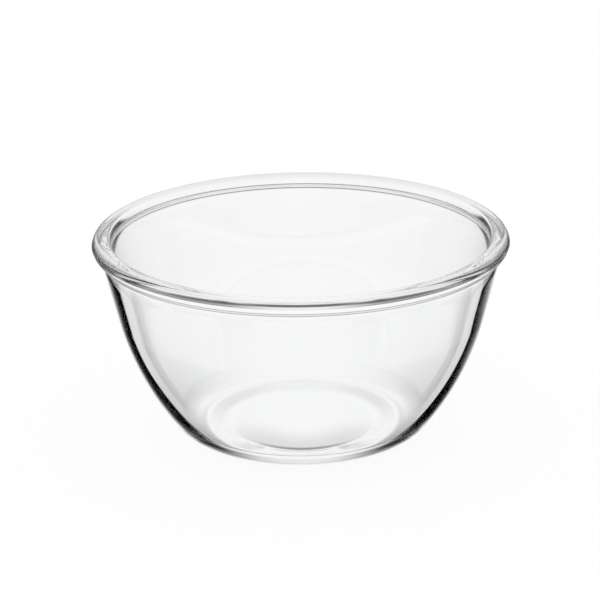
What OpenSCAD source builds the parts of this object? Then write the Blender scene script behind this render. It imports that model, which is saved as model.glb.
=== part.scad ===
// Clear pressed-glass prep bowl: one piece of glass, turned about the Z axis.
// Millimetres, +Z up. The origin is the centre of the foot, on the surface that the bowl stands on.

/* [Overall] */
// Outer diameter across the rim bead
rim_d = 165; // [140:1:190]
// Height from the foot to the top of the rim
height = 82.8; // [70:0.1:95]
// Diameter of the bottom, inside the rounded heel
base_d = 83; // [72:1:96]

/* [Wall] */
// Thickness of the wall
wall_t = 3.7; // [2.8:0.1:4.6]
// How much steeper the straight upper wall is than the line from the bottom to the rim, in degrees
wall_slope = 12.5; // [8:0.1:16]
// Length of the straight upper wall, down from the middle of the bead
flare_l = 31; // [24:0.5:40]

/* [Rim] */
// Height of the round bead on the outside of the rim
bead_h = 5.8; // [4.4:0.1:7]
// How far the bead stands out from the wall at the middle of its height
bead_out = 2.3; // [1.6:0.1:3]
// Radius of the hollow fillet between the bead and the wall below it
bead_fillet_r = 3.9; // [2:0.1:5]
// Depth below the rim at which the inside wall turns upright
upright_h = 8; // [7:0.1:12]
// Radius of that turn
upright_r = 36; // [20:1:50]
// Radius of the inner edge of the flat rim top
rim_edge_r = 1.6; // [0.8:0.1:2.4]

/* [Base] */
// Diameter of the flat foot, to the middle of its rounded edge
foot_d = 60; // [48:1:68]
// How steeply the bottom rises from the foot to the heel, in degrees
bottom_slope = 8; // [5:0.1:11]
// Radius between the flat foot and the rising bottom
foot_edge_r = 50; // [20:1:60]
// Thickness of the glass over the foot
floor_t = 4.5; // [3.8:0.1:6]
// Radius between the bottom and the outside wall
heel_r = 13; // [8:0.1:18]
// Radius between the floor and the inside wall
cove_r = 15; // [10:0.1:22]

/* [Hidden] */
$fn = 180;
// One lap: how far an arc stands proud of the face that it runs into, so that they cross in one clean edge
blend_lap = 0.002;

// Rim bead: its centre, and the point of the outer wall face level with it
bead_r = bead_h / 2;
bead_c = [rim_d / 2 - bead_r, height - bead_r];
wall_top = [rim_d / 2 - bead_out, height - bead_r];

// Straight upper wall: its slope from the level, and the directions up along it and square to it outwards
base = [base_d / 2, (base_d - foot_d) / 2 * tan(bottom_slope)];
base_to_rim = wall_top - base;
upper_slope = atan2(base_to_rim.y, base_to_rim.x) + wall_slope;
along = [cos(upper_slope), sin(upper_slope)];
outward = [sin(upper_slope), -cos(upper_slope)];

// Outer belly: an arc that meets the straight wall and the heel without a corner
flare_start = wall_top - flare_l * along;
heel_c = base + [0, heel_r / cos(bottom_slope)];
heel_to_flare = flare_start - heel_c;
belly_r = (heel_to_flare * heel_to_flare - heel_r * heel_r) / (2 * (heel_to_flare * outward - heel_r));
belly_c = flare_start - belly_r * outward;
heel_top = tangent_point(belly_c, heel_c, belly_r);

// Bottom: it rises from the flat foot, over an arc no longer than the rise has room for, straight out to the heel
downward = [sin(bottom_slope), -cos(bottom_slope)];
bottom_end = heel_c + heel_r * downward;
edge_r = min(foot_edge_r, (base_d - foot_d) / 2 / tan(bottom_slope / 2));
edge_c = [foot_d / 2 - edge_r * tan(bottom_slope / 2), edge_r];
bottom_start = edge_c + edge_r * downward;

// Inner belly: the outer one less the wall, met by the cove that rises from the floor
inner_belly_r = belly_r - wall_t;
inner_flare_start = flare_start - wall_t * outward;
cove_z = floor_t + cove_r;
cove_c = [belly_c.x + leg(inner_belly_r - cove_r, belly_c.y - cove_z), cove_z];
cove_top = tangent_point(belly_c, cove_c, inner_belly_r);

// Upright inside wall at the rim, met by an arc from the sloping wall that ends below the rounded rim edge
upright_z = height - upright_h;
rim_inner_r = inner_flare_start.x + (upright_z - inner_flare_start.y) / tan(upper_slope);
half_turn = (90 - upper_slope) / 2;
turn_r = min(upright_r, (upright_h - rim_edge_r) / tan(half_turn));
turn_l = turn_r * tan(half_turn);
turn_start = [rim_inner_r, upright_z] - turn_l * along;
turn_end_z = upright_z + turn_l;
turn_c = [rim_inner_r - turn_r, turn_end_z];

// Fillet under the bead: it touches the straight wall and the bead from outside
fillet_side = (wall_top - bead_c) * outward + bead_fillet_r;
fillet_drop = leg(bead_r + bead_fillet_r, fillet_side);
fillet_c = bead_c + fillet_side * outward - fillet_drop * along;
fillet_on_wall = fillet_c - bead_fillet_r * outward;
fillet_on_bead = tangent_point(bead_c, fillet_c, bead_r);

// Length of the other leg of a right triangle
function leg(hypotenuse, side) = sqrt(hypotenuse * hypotenuse - side * side);

// Point on the circle round c, with radius r, on the ray from c through p
function tangent_point(c, p, r) = c + r * (p - c) / norm(p - c);

// Rectangle from the axis out to radius r, between two heights
module slab(r, z0, z1) {
    translate([0, z0])
        square([r, z1 - z0]);
}

// Area from the axis out to an arc with centre c and radius r, between two heights
// An arc that runs into another arc, and not a straight face, takes two laps
module arc_slab(c, r, z0, z1, laps = 1) {
    if (c.x > 0)
        slab(c.x, z0, z1);
    intersection() {
        translate(c)
            circle(r + laps * blend_lap);
        slab(c.x + 2 * r, z0, z1);
    }
}

// Outside form of the bowl, filled to the axis: foot, bottom, heel, belly, straight wall and bead
module outer_profile() {
    arc_slab(edge_c, edge_r, 0, bottom_end.y);
    polygon([[0, bottom_start.y], bottom_start, bottom_end, [0, bottom_end.y]]);
    arc_slab(heel_c, heel_r, heel_c.y - heel_r, heel_c.y, laps = 2);
    arc_slab(belly_c, belly_r, heel_top.y, wall_top.y);
    polygon([[0, flare_start.y], flare_start, wall_top, [0, wall_top.y]]);
    bead_profile();
}

// Round bead and flat top of the rim, with the fillet below the bead
module bead_profile() {
    slab(bead_c.x, bead_c.y, height);
    translate(bead_c)
        circle(bead_r);
    difference() {
        polygon([fillet_on_wall, fillet_c, fillet_on_bead, bead_c]);
        translate(fillet_c)
            circle(bead_fillet_r + blend_lap);
    }
}

// Inside form of the bowl, from the floor to the rim
module cavity_profile() {
    arc_slab(cove_c, cove_r, floor_t, cove_c.y, laps = 2);
    arc_slab(belly_c, inner_belly_r, cove_top.y, turn_start.y);
    polygon([[0, inner_flare_start.y], inner_flare_start, turn_start, [0, turn_start.y]]);
    arc_slab(turn_c, turn_r, inner_flare_start.y, height);
    slab(rim_inner_r, turn_end_z, height);
    rim_edge_profile();
}

// Glass that the rounded inner edge of the rim leaves off
module rim_edge_profile() {
    rim_edge_c = [rim_inner_r + rim_edge_r, height - rim_edge_r];
    difference() {
        translate([0, rim_edge_c.y])
            square([rim_edge_c.x, rim_edge_r]);
        translate(rim_edge_c)
            circle(rim_edge_r);
    }
}

module glass_bowl() {
    color("azure", 0.4)
        rotate_extrude()
            difference() {
                outer_profile();
                cavity_profile();
            }
}

glass_bowl();
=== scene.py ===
"""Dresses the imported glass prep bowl: its section lathed finely, clear glass, a white floor and a studio."""

import math

import bmesh
import bpy
import numpy as np
from mathutils import Matrix, Vector


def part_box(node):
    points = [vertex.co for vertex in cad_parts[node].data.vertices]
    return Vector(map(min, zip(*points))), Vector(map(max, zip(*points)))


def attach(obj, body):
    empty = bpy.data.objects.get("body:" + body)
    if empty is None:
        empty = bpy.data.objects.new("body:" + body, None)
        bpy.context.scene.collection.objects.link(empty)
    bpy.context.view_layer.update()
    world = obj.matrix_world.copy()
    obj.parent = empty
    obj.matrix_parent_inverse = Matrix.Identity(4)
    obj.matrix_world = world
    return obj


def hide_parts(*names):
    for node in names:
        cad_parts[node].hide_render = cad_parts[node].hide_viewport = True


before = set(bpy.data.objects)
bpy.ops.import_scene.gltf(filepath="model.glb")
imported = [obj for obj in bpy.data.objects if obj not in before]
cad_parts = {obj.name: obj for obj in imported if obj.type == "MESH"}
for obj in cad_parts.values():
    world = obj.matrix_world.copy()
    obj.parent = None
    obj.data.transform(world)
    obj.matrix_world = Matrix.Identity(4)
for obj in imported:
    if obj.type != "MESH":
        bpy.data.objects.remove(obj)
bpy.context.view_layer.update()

MM = 0.001
QUARTER_TURN = math.pi / 2
WHITE = (1, 1, 1, 1)
NODE = "glass_bowl"
low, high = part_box(NODE)

# Section of the bowl, in metres: its reach and height come from the frame, the rest are the real bowl's sizes
RIM_R = (high.x - low.x) / 2
HEIGHT = high.z
# Flat foot, to the middle of its rounded edge, and the bottom that rises from it to the rounded heel
FOOT_R = 30 * MM
FOOT_EDGE_R = 50 * MM
BASE_R = 41.5 * MM
BOTTOM_SLOPE = math.radians(8)
HEEL_R = 13 * MM
# Wall: its thickness, how much steeper its straight upper part is than the line from the bottom to the rim,
# and the length of that part
WALL_T = 3.7 * MM
WALL_SLOPE = math.radians(12.5)
FLARE_L = 31 * MM
# Round bead outside the rim, how far it stands out from the wall, and the fillet under it
BEAD_R = 2.9 * MM
BEAD_OUT = 2.3 * MM
BEAD_FILLET_R = 3.9 * MM
# Seam of the mould: a ridge along the widest line of the bead, and how far it reaches round the bead each way
SEAM_H = 0.15 * MM
SEAM_TURN = math.radians(5)
# Inside: the depth below the rim at which the wall turns upright, the radii of that turn, of the rim's edge
# and of the cove that leads down to the bowl's floor, and the thickness of that floor
UPRIGHT_H = 8 * MM
UPRIGHT_R = 36 * MM
RIM_EDGE_R = 1.6 * MM
COVE_R = 15 * MM
BOWL_FLOOR_T = 4.5 * MM

# Fineness of the lathe: steps round the axis, longest step along the section and largest turn in one step
ROUND_STEPS = 288
LONGEST_STEP = 1.2 * MM
LARGEST_TURN = math.radians(5)

# Glass: its faint tint, the slow waves that pressing leaves, and the wear in its polish
GLASS_COLOR = (0.99, 0.993, 0.994, 1)
GLASS_IOR = 1.5
WAVE_SCALE = 24
WAVE_DETAIL = 1
WAVE_HEIGHT = 0.15 * MM
WEAR_SCALE = 160
WEAR_DETAIL = 4
WEAR_START = 0.45
WEAR_FULL = 0.8
WEAR_ROUGHNESS = 0.02

# Floor just under the bowl: the share of plain white in what the camera sees of it, the rest being lit
FLOOR_R = 6
FLOOR_Z = -0.2 * MM
FLOOR_CORNERS = 96
FLOOR_WHITE = 0.9

# Half disc of painted shade on the floor under the foot: a painted contact shadow, seen only through the
# glass. Its soft shade and its dark edge each take a share of light, and grow over a span of radius and a span
# of frontness, which is 1 straight towards the photograph's camera
SHADE_R = 29 * MM
SHADE_Z = -0.1 * MM
SHADE_STEPS = 48
SOFT_SHADE = 0.32
SOFT_RADII = (8 * MM, 27 * MM)
SOFT_FRONT = (0, 0.9)
EDGE_SHADE = 0.68
EDGE_RADII = (26.8 * MM, 28 * MM)
EDGE_FRONT = (0.7, 1)

# Camera: where it stands from the point that it is set up on, how far above that point it looks, and its roll
TARGET_Z = 43.2 * MM
CAMERA_DISTANCE = 1.1
CAMERA_ELEVATION = math.radians(20.37)
CAMERA_AIM_UP = math.radians(0.645)
CAMERA_ROLL = math.radians(-0.68)
CAMERA_LENS = 164.75
CAMERA_SENSOR = 36
CAMERA_SHIFT_X = -0.0023

# Kinds of light path that meet the glass: clear light is never reflected, mirrored light is reflected and
# crosses nothing, turned light is reflected and leaves after crossing one wall, and longer light is the rest.
# A wall has two surfaces to cross. Turned light is trapped after some reflections and lost after many
ONE_WALL = 2
TRAPPED_AFTER = 5
LOST_AFTER = 40
BOUNCES = 64

# Studio of windows round the bowl, one of them straight ahead of the camera, with dark flags on both sides.
# Angles are in degrees, and a pair is the span over which something starts or ends.
# These azimuths are measured from the middle of the nearest window
WINDOWS = 4
TURNED_FLAG_START = (6, 21)
TURNED_FLAG_END = (32, 34)
MIRRORED_FLAG_START = (10, 22)
MIRRORED_FLAG_END = (37, 39)
CLEAR_FLAG_START = (12, 15.5)
CLEAR_FLAG_END = (32, 34)
CLEAR_SIDE_START = (0.5, 6.5)
CLEAR_SIDE_END = (38, 44)
LONGER_START = (6, 12)
# Elevations above which there are flags: for clear light, and for the rest except at the window ahead
CLEAR_FLAG_FOOT = (-22, -15)
FLAG_FOOT = (-36, -31)
# The flag for turned light starts this much nearer to the window's middle between these elevations
EARLY = 8
EARLY_START = (-46, -36)
EARLY_END = (-27, -21)
# Trapped light finds a dark room behind the camera, past an azimuth from straight ahead, up to an elevation
ROOM_START = (108, 124)
ROOM_TOP = (2, 9)
# Lost light finds that room all round, up to an elevation, but not at the sides between these azimuths
LOST_SIDE_START = (78, 88)
LOST_SIDE_END = (114, 122)
LOST_TOP = (10, 16)

# Brightness against elevation in the window and on the flags
TURNED_WINDOW = (
    (-90, 1), (-56, 0.9), (-50, 0.72), (-43, 0.8), (-34, 0.9), (-22, 0.6), (-19, 0.6), (-14, 0.1), (-6, 0.22),
    (4, 0.38), (10, 0.5), (20, 0.95), (90, 0.9))
TURNED_FLAG = (
    (-90, 1), (-58, 0.9), (-52, 0.3), (-48, 0.05), (-44, 0), (-8, 0), (0, 0.1), (6, 0.3), (20, 0.7),
    (90, 0.8))
MIRRORED_WINDOW = (
    (-90, 0.9), (-56, 0.9), (-24, 0.75), (-12, 0.3), (2, 0.3), (8, 0.85), (90, 0.85))
MIRRORED_FLAG = (
    (-90, 0.9), (-60, 0.9), (-54, 0.3), (-48, 0.1), (-42, 0), (-8, 0), (2, 0.2), (8, 0.8), (90, 0.85))
# Brightness in the gaps past the flags: for mirrored light and at the window ahead, and at the other windows
GAP_AHEAD = (
    (-90, 1), (-50, 0.85), (-27, 0.75), (-22, 0.2), (-17, 0.05), (-2, 0.04), (6, 0.3), (20, 0.8), (90, 0.85))
GAP_ROUND = (
    (-90, 1), (-52, 0.85), (-47, 0.7), (-43, 0.1), (-38, 0.03), (-2, 0.04), (6, 0.3), (20, 0.8), (90, 0.85))
# Longer light has no flags: it finds the middle of a window or what is round it
LONGER_WINDOW = (
    (-90, 0.95), (-30, 0.9), (-20, 0.75), (-15, 0.7), (-10, 0.25), (-4, 0.2), (2, 0.4), (8, 0.6), (20, 0.92),
    (90, 1))
LONGER_ROUND = (
    (-90, 0.95), (-30, 0.9), (-20, 0.68), (-12, 0.68), (-4, 0.85), (6, 0.85), (20, 0.9), (90, 1))
# Clear light comes through one wall, or through two in the middle or at the side of a window
CLEAR_ONCE = (
    (-90, 0.8), (-62, 0.78), (-31, 0.87), (-20, 0.95), (-14, 0.98), (-1, 0.98), (3, 0.9), (6, 0.24),
    (10, 0.24), (13, 0.75), (22, 0.85), (90, 1))
CLEAR_TWICE = (
    (-90, 0.98), (-47, 0.95), (-44, 0.3), (-42, 0.02), (-37.5, 0.02), (-36, 0.3), (-34, 0.86), (-26, 0.95),
    (-20, 0.95), (-8, 1), (0, 0.97), (7, 0.9), (14, 0.92), (22, 0.95), (90, 1))
CLEAR_SIDE = (
    (-90, 0.98), (-48, 0.9), (-43, 0.3), (-39, 0.02), (-33, 0.1), (-29, 0.35), (-26, 0.6), (-24, 0.74),
    (-21.5, 0.92), (-18, 0.95), (-8, 1), (0, 0.97), (7, 0.9), (14, 0.92), (22, 0.95), (90, 1))
CLEAR_FLAG = (
    (-90, 0.95), (-50, 0.9), (-45, 0.1), (-2, 0.05), (6, 0.3), (14, 0.7), (25, 0.95), (90, 1))


def vec(x, y):
    return np.array([x, y], float)


def ray(angle):
    """Unit vector at an angle from the level."""
    return vec(math.cos(angle), math.sin(angle))


def angle_of(v):
    return math.atan2(v[1], v[0])


def leg(hypotenuse, side):
    """Length of the other leg of a right triangle."""
    return math.sqrt(hypotenuse**2 - side**2)


def line(start, end):
    """Points from start up to, but not including, end."""
    steps = max(2, math.ceil(np.linalg.norm(end - start) / LONGEST_STEP))
    return [start + (end - start) * i / steps for i in range(steps)]


def arc(centre, radius, turn_from, turn_to):
    """Points round an arc from one angle up to, but not including, another."""
    turn = turn_to - turn_from
    steps = max(math.ceil(abs(turn) / LARGEST_TURN), math.ceil(abs(turn) * radius / LONGEST_STEP))
    return [centre + radius * ray(turn_from + turn * i / steps) for i in range(steps)]


def section():
    """The half section as points from the axis, under the bowl, over the rim and down to the axis inside."""
    # Straight upper wall
    wall_top = vec(RIM_R - BEAD_OUT, HEIGHT - BEAD_R)
    base = vec(BASE_R, (BASE_R - FOOT_R) * math.tan(BOTTOM_SLOPE))
    slope = angle_of(wall_top - base) + WALL_SLOPE
    lean = QUARTER_TURN - slope
    along = ray(slope)
    outward = ray(-lean)
    flare_start = wall_top - FLARE_L * along

    # Foot, bottom, heel and belly
    bottom_turn = BOTTOM_SLOPE - QUARTER_TURN
    foot_c = vec(FOOT_R - FOOT_EDGE_R * math.tan(BOTTOM_SLOPE / 2), FOOT_EDGE_R)
    bottom_start = foot_c + FOOT_EDGE_R * ray(bottom_turn)
    heel_c = base + vec(0, HEEL_R / math.cos(BOTTOM_SLOPE))
    bottom_end = heel_c + HEEL_R * ray(bottom_turn)
    reach = flare_start - heel_c
    belly_r = (reach @ reach - HEEL_R**2) / (2 * (reach @ outward - HEEL_R))
    belly_c = flare_start - belly_r * outward
    heel_turn = angle_of(heel_c - belly_c)

    # Bead and the fillet under it
    bead_c = vec(RIM_R - BEAD_R, HEIGHT - BEAD_R)
    fillet_side = (wall_top - bead_c) @ outward + BEAD_FILLET_R
    fillet_c = bead_c + fillet_side * outward - leg(BEAD_R + BEAD_FILLET_R, fillet_side) * along
    fillet_on_wall = fillet_c - BEAD_FILLET_R * outward
    bead_turn = angle_of(fillet_c - bead_c)

    # Inside: rim edge, upright turn, belly and cove
    inner_flare_start = flare_start - WALL_T * outward
    upright_z = HEIGHT - UPRIGHT_H
    rim_inner_r = inner_flare_start[0] + (upright_z - inner_flare_start[1]) / math.tan(slope)
    edge_c = vec(rim_inner_r + RIM_EDGE_R, HEIGHT - RIM_EDGE_R)
    turn_l = UPRIGHT_R * math.tan(lean / 2)
    turn_c = vec(rim_inner_r - UPRIGHT_R, upright_z + turn_l)
    turn_start = vec(rim_inner_r, upright_z) - turn_l * along
    inner_r = belly_r - WALL_T
    cove_z = BOWL_FLOOR_T + COVE_R
    cove_c = vec(belly_c[0] + leg(inner_r - COVE_R, belly_c[1] - cove_z), cove_z)
    cove_turn = angle_of(cove_c - belly_c)

    points = line(vec(0, 0), vec(foot_c[0], 0))
    points += arc(foot_c, FOOT_EDGE_R, -QUARTER_TURN, bottom_turn)
    points += line(bottom_start, bottom_end)
    points += arc(heel_c, HEEL_R, bottom_turn, heel_turn)
    points += arc(belly_c, belly_r, heel_turn, -lean)
    points += line(flare_start, fillet_on_wall)
    points += arc(fillet_c, BEAD_FILLET_R, math.pi - lean, bead_turn + math.pi)
    points += arc(bead_c, BEAD_R, bead_turn, -SEAM_TURN)
    points += [bead_c + BEAD_R * ray(-SEAM_TURN), bead_c + vec(BEAD_R + SEAM_H, 0)]
    points += arc(bead_c, BEAD_R, SEAM_TURN, QUARTER_TURN)
    points += line(vec(bead_c[0], HEIGHT), vec(edge_c[0], HEIGHT))
    points += arc(edge_c, RIM_EDGE_R, QUARTER_TURN, math.pi)
    points += line(vec(rim_inner_r, edge_c[1]), vec(rim_inner_r, turn_c[1]))
    points += arc(turn_c, UPRIGHT_R, 0, -lean)
    points += line(turn_start, inner_flare_start)
    points += arc(belly_c, inner_r, -lean, cove_turn)
    points += arc(cove_c, COVE_R, cove_turn, -QUARTER_TURN)
    points += line(vec(cove_c[0], BOWL_FLOOR_T), vec(0, BOWL_FLOOR_T))
    return points + [vec(0, BOWL_FLOOR_T)]


def lathe(name, points):
    """A closed solid of revolution from a half section whose two ends lie on the axis."""
    mesh = bpy.data.meshes.new(name)
    bm = bmesh.new()
    rings = []
    for r, z in points[1:-1]:
        turns = (2 * math.pi * i / ROUND_STEPS for i in range(ROUND_STEPS))
        rings.append([bm.verts.new((r * math.cos(t), r * math.sin(t), z)) for t in turns])
    for lower, upper in zip(rings, rings[1:]):
        for i in range(ROUND_STEPS):
            j = (i + 1) % ROUND_STEPS
            bm.faces.new((lower[i], lower[j], upper[j], upper[i]))
    for (_, z), ring, step in ((points[0], rings[0], -1), (points[-1], rings[-1], 1)):
        pole = bm.verts.new((0, 0, z))
        for i in range(ROUND_STEPS):
            bm.faces.new((pole, ring[i], ring[(i + 1) % ROUND_STEPS])[::step])
    for face in bm.faces:
        face.smooth = True
    bm.to_mesh(mesh)
    bm.free()
    piece = bpy.data.objects.new(name, mesh)
    bpy.context.scene.collection.objects.link(piece)
    return piece


class NodeTree:
    """Short ways to add nodes to the tree of a material or a world."""

    def __init__(self, owner):
        owner.use_nodes = True
        self.nodes = owner.node_tree.nodes
        self.links = owner.node_tree.links

    def feed(self, node, inputs):
        """Sets inputs of a node to values, or links them to other nodes' outputs."""
        for name, value in inputs.items():
            if isinstance(value, bpy.types.NodeSocket):
                self.links.new(value, node.inputs[name])
            else:
                node.inputs[name].default_value = value

    def add(self, kind, inputs):
        """A new node with its inputs fed."""
        node = self.nodes.new("ShaderNode" + kind)
        self.feed(node, inputs)
        return node

    def coordinates(self, kind):
        """The three parts of a texture coordinate."""
        place = self.nodes.new("ShaderNodeTexCoord").outputs[kind]
        return self.add("SeparateXYZ", {"Vector": place}).outputs

    def calc(self, operation, *values):
        """Arithmetic on numbers and outputs."""
        node = self.nodes.new("ShaderNodeMath")
        node.operation = operation
        self.feed(node, dict(enumerate(values)))
        return node.outputs[0]

    def ease(self, value, span):
        """A smooth rise from 0 to 1 over a span of the value."""
        node = self.add("MapRange", {"Value": value, "From Min": span[0], "From Max": span[1]})
        node.interpolation_type = "SMOOTHSTEP"
        return node.outputs[0]

    def below(self, value, span):
        """A smooth fall from 1 to 0 over a span of the value."""
        return self.calc("SUBTRACT", 1, self.ease(value, span))

    def between(self, value, start, end):
        """A smooth rise to 1 over one span of the value and back to 0 over another."""
        return self.calc("SUBTRACT", self.ease(value, start), self.ease(value, end))

    def mix(self, factor, first, second):
        """The first colour where the factor is 0, and the second where it is 1."""
        node = self.nodes.new("ShaderNodeMix")
        node.data_type = "RGBA"
        self.feed(node, {"Factor": factor, "A": first, "B": second})
        return node.outputs["Result"]


def clear_glass():
    """Clear pressed glass: faintly cool, with slow waves in its surface and a trace of wear in its polish."""
    material = bpy.data.materials.new("clear_glass")
    tree = NodeTree(material)
    place = tree.nodes.new("ShaderNodeTexCoord").outputs["Object"]
    waves = tree.add("TexNoise", {"Vector": place, "Scale": WAVE_SCALE, "Detail": WAVE_DETAIL})
    bump = tree.add("Bump", {"Height": waves.outputs["Fac"], "Strength": 1, "Distance": WAVE_HEIGHT})
    wear = tree.add("TexNoise", {"Vector": place, "Scale": WEAR_SCALE, "Detail": WEAR_DETAIL})
    polish = tree.add("MapRange", {
        "Value": wear.outputs["Fac"],
        "From Min": WEAR_START,
        "From Max": WEAR_FULL,
        "To Max": WEAR_ROUGHNESS,
    })
    tree.feed(tree.nodes["Principled BSDF"], {
        "Base Color": GLASS_COLOR,
        "IOR": GLASS_IOR,
        "Transmission Weight": 1,
        "Roughness": polish.outputs[0],
        "Normal": bump.outputs["Normal"],
    })
    return material


def add_floor():
    """White floor that keeps the bowl's shadow. Light paths through the glass find the studio instead."""
    bpy.ops.mesh.primitive_circle_add(
        vertices=FLOOR_CORNERS, radius=FLOOR_R, fill_type="NGON", location=(0, 0, FLOOR_Z))
    floor = bpy.context.object
    floor.name = "floor"
    material = bpy.data.materials.new("floor_white")
    tree = NodeTree(material)
    tree.nodes.clear()
    lit = tree.add("BsdfDiffuse", {"Color": WHITE})
    plain = tree.add("Emission", {"Color": WHITE, "Strength": 1})
    seen = tree.nodes.new("ShaderNodeLightPath").outputs["Is Camera Ray"]
    share = tree.calc("MULTIPLY", seen, FLOOR_WHITE)
    mixed = tree.add("MixShader", {0: share, 1: lit.outputs[0], 2: plain.outputs[0]})
    tree.add("OutputMaterial", {"Surface": mixed.outputs[0]})
    floor.data.materials.append(material)
    floor.visible_transmission = False
    floor.visible_glossy = False


def add_foot_shade():
    """Painted shade on the floor under the foot that darkens what is seen through the glass, most along the
    front.
    """
    turns = (math.pi * (1 + i / SHADE_STEPS) for i in range(SHADE_STEPS + 1))
    outline = [(SHADE_R * math.cos(t), SHADE_R * math.sin(t), SHADE_Z) for t in turns]
    mesh = bpy.data.meshes.new("foot_shade")
    mesh.from_pydata(outline, [], [range(len(outline))])
    disc = bpy.data.objects.new("foot_shade", mesh)
    bpy.context.scene.collection.objects.link(disc)
    material = bpy.data.materials.new("foot_shade")
    tree = NodeTree(material)
    tree.nodes.clear()
    x, y, _ = tree.coordinates("Object")
    radius = tree.calc("SQRT", tree.calc("ADD", tree.calc("MULTIPLY", x, x), tree.calc("MULTIPLY", y, y)))
    front = tree.calc("DIVIDE", y, tree.calc("MULTIPLY", radius, -1))
    soft = tree.calc("MULTIPLY", tree.ease(radius, SOFT_RADII), tree.ease(front, SOFT_FRONT))
    edge = tree.calc("MULTIPLY", tree.ease(radius, EDGE_RADII), tree.ease(front, EDGE_FRONT))
    # Painted contact shadow: a filter that darkens light from behind it, deepest at the front edge of the foot
    light = tree.calc("SUBTRACT", 1, tree.calc("MULTIPLY", soft, SOFT_SHADE))
    light = tree.calc("SUBTRACT", light, tree.calc("MULTIPLY", edge, EDGE_SHADE))
    shade = tree.add("BsdfTransparent", {"Color": light})
    tree.add("OutputMaterial", {"Surface": shade.outputs[0]})
    disc.data.materials.append(material)
    disc.visible_camera = False
    disc.visible_diffuse = False
    disc.visible_glossy = False
    disc.visible_shadow = False


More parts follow.
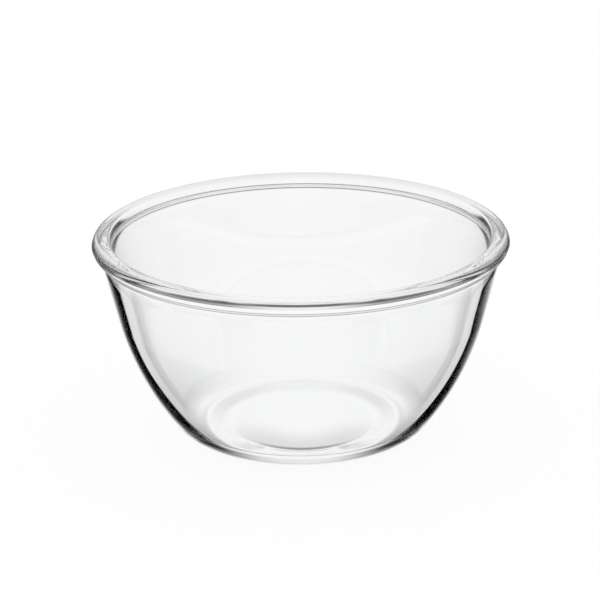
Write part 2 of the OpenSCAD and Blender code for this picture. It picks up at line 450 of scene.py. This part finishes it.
class Studio(NodeTree):
    """The world's node tree: the direction in which a light path leaves, and the light that it finds."""

    def __init__(self, world):
        super().__init__(world)
        self.path = self.nodes.new("ShaderNodeLightPath").outputs
        x, y, z = self.coordinates("Generated")
        azimuth = self.calc("DEGREES", self.calc("ARCTAN2", x, y))
        half_window = 180 / WINDOWS
        self.from_window = self.calc("ABSOLUTE", self.calc("WRAP", azimuth, half_window, -half_window))
        self.from_ahead = self.calc("ABSOLUTE", azimuth)
        self.elevation = self.calc("DEGREES", self.calc("ARCSINE", z))
        self.ahead = self.calc("LESS_THAN", self.from_ahead, half_window)
        self.flagged = self.calc("MAXIMUM", self.ahead, self.ease(self.elevation, FLAG_FOOT))

    def level(self, stops):
        """Brightness at the path's elevation, from stops of elevation and brightness."""
        share = self.calc("DIVIDE", self.calc("ADD", self.elevation, 90), 180)
        node = self.add("ValToRGB", {"Fac": share})
        elements = node.color_ramp.elements
        while len(elements) < len(stops):
            elements.new(0.5)
        for element, (degrees, light) in zip(elements, stops):
            element.position = (degrees + 90) / 180
            element.color = (light, light, light, 1)
        return node.outputs["Color"]

    def clear(self):
        """Light that comes straight through one wall or two."""
        side = self.between(self.from_window, CLEAR_SIDE_START, CLEAR_SIDE_END)
        twice = self.mix(side, self.level(CLEAR_TWICE), self.level(CLEAR_SIDE))
        two_walls = self.calc("GREATER_THAN", self.path["Transmission Depth"], ONE_WALL)
        through = self.mix(two_walls, self.level(CLEAR_ONCE), twice)
        flag = self.between(self.from_window, CLEAR_FLAG_START, CLEAR_FLAG_END)
        flag = self.calc("MULTIPLY", flag, self.ease(self.elevation, CLEAR_FLAG_FOOT))
        return self.mix(flag, through, self.level(CLEAR_FLAG))

    def mirrored(self):
        """Light that the surface reflects."""
        flag = self.calc("MULTIPLY", self.ease(self.from_window, MIRRORED_FLAG_START), self.flagged)
        light = self.mix(flag, self.level(MIRRORED_WINDOW), self.level(MIRRORED_FLAG))
        return self.mix(self.ease(self.from_window, MIRRORED_FLAG_END), light, self.level(GAP_AHEAD))

    def turned(self):
        """Light that is reflected on its way through one wall."""
        early = self.between(self.elevation, EARLY_START, EARLY_END)
        offset = self.calc("MULTIPLY_ADD", early, EARLY, self.from_window)
        flag = self.calc("MULTIPLY", self.ease(offset, TURNED_FLAG_START), self.flagged)
        light = self.mix(flag, self.level(TURNED_WINDOW), self.level(TURNED_FLAG))
        gap = self.mix(self.ahead, self.level(GAP_ROUND), self.level(GAP_AHEAD))
        light = self.mix(self.ease(self.from_window, TURNED_FLAG_END), light, gap)
        is_trapped = self.calc("GREATER_THAN", self.path["Glossy Depth"], TRAPPED_AFTER)
        return self.mix(is_trapped, light, self.trapped())

    def trapped(self):
        """Turned light after many reflections: bright, but for the dark room."""
        behind = self.ease(self.from_ahead, ROOM_START)
        behind = self.calc("MULTIPLY", behind, self.below(self.elevation, ROOM_TOP))
        sides = self.between(self.from_ahead, LOST_SIDE_START, LOST_SIDE_END)
        around = self.calc("MULTIPLY", self.calc("SUBTRACT", 1, sides), self.below(self.elevation, LOST_TOP))
        is_lost = self.calc("GREATER_THAN", self.path["Glossy Depth"], LOST_AFTER)
        room = self.calc("MAXIMUM", behind, self.calc("MULTIPLY", around, is_lost))
        return self.mix(room, self.level(LONGER_ROUND), self.level(TURNED_FLAG))

    def longer(self):
        """Reflected light that is neither mirrored nor turned."""
        past_middle = self.ease(self.from_window, LONGER_START)
        return self.mix(past_middle, self.level(LONGER_WINDOW), self.level(LONGER_ROUND))

    def through_glass(self):
        """The light for a path that met the glass, by its kind."""
        leaves_wall = self.path["Is Transmission Ray"]
        reflected = self.mix(leaves_wall, self.mirrored(), self.turned())
        crossings = self.calc("MULTIPLY", leaves_wall, ONE_WALL)
        is_longer = self.calc("GREATER_THAN", self.path["Transmission Depth"], crossings)
        reflected = self.mix(is_longer, reflected, self.longer())
        is_reflected = self.calc("GREATER_THAN", self.path["Glossy Depth"], 0)
        return self.mix(is_reflected, self.clear(), reflected)


def add_world():
    """White for the camera and the floor. Light paths through the glass find the studio."""
    world = bpy.data.worlds.new("studio")
    bpy.context.scene.world = world
    studio = Studio(world)
    met_glass = studio.calc("MAXIMUM", studio.path["Is Transmission Ray"], studio.path["Is Glossy Ray"])
    from_floor = studio.calc("GREATER_THAN", studio.path["Diffuse Depth"], 0)
    finds_studio = studio.calc("MULTIPLY", met_glass, studio.calc("SUBTRACT", 1, from_floor))
    light = studio.mix(finds_studio, WHITE, studio.through_glass())
    studio.feed(studio.nodes["Background"], {"Color": light, "Strength": 1})


def add_camera():
    """A camera at the photograph's viewing angle, rolled because the rim leans in the photograph."""
    data = bpy.data.cameras.new("camera")
    data.lens = CAMERA_LENS
    data.sensor_width = CAMERA_SENSOR
    data.shift_x = CAMERA_SHIFT_X
    camera = bpy.data.objects.new("camera", data)
    back = Vector((0, -math.cos(CAMERA_ELEVATION), math.sin(CAMERA_ELEVATION)))
    camera.location = Vector((0, 0, TARGET_Z)) + CAMERA_DISTANCE * back
    tilt = Matrix.Rotation(QUARTER_TURN - CAMERA_ELEVATION + CAMERA_AIM_UP, 3, "X")
    camera.rotation_euler = (tilt @ Matrix.Rotation(CAMERA_ROLL, 3, "Z")).to_euler()
    bpy.context.scene.collection.objects.link(camera)
    bpy.context.scene.camera = camera


bowl = lathe("bowl_glass", section())
bowl.data.materials.append(clear_glass())
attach(bowl, "root")
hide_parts(NODE)
add_floor()
add_foot_shade()
add_world()
add_camera()
bpy.context.scene.view_settings.view_transform = "Standard"
bpy.context.scene.cycles.max_bounces = BOUNCES
bpy.context.scene.cycles.transmission_bounces = BOUNCES
bpy.context.scene.cycles.glossy_bounces = BOUNCES
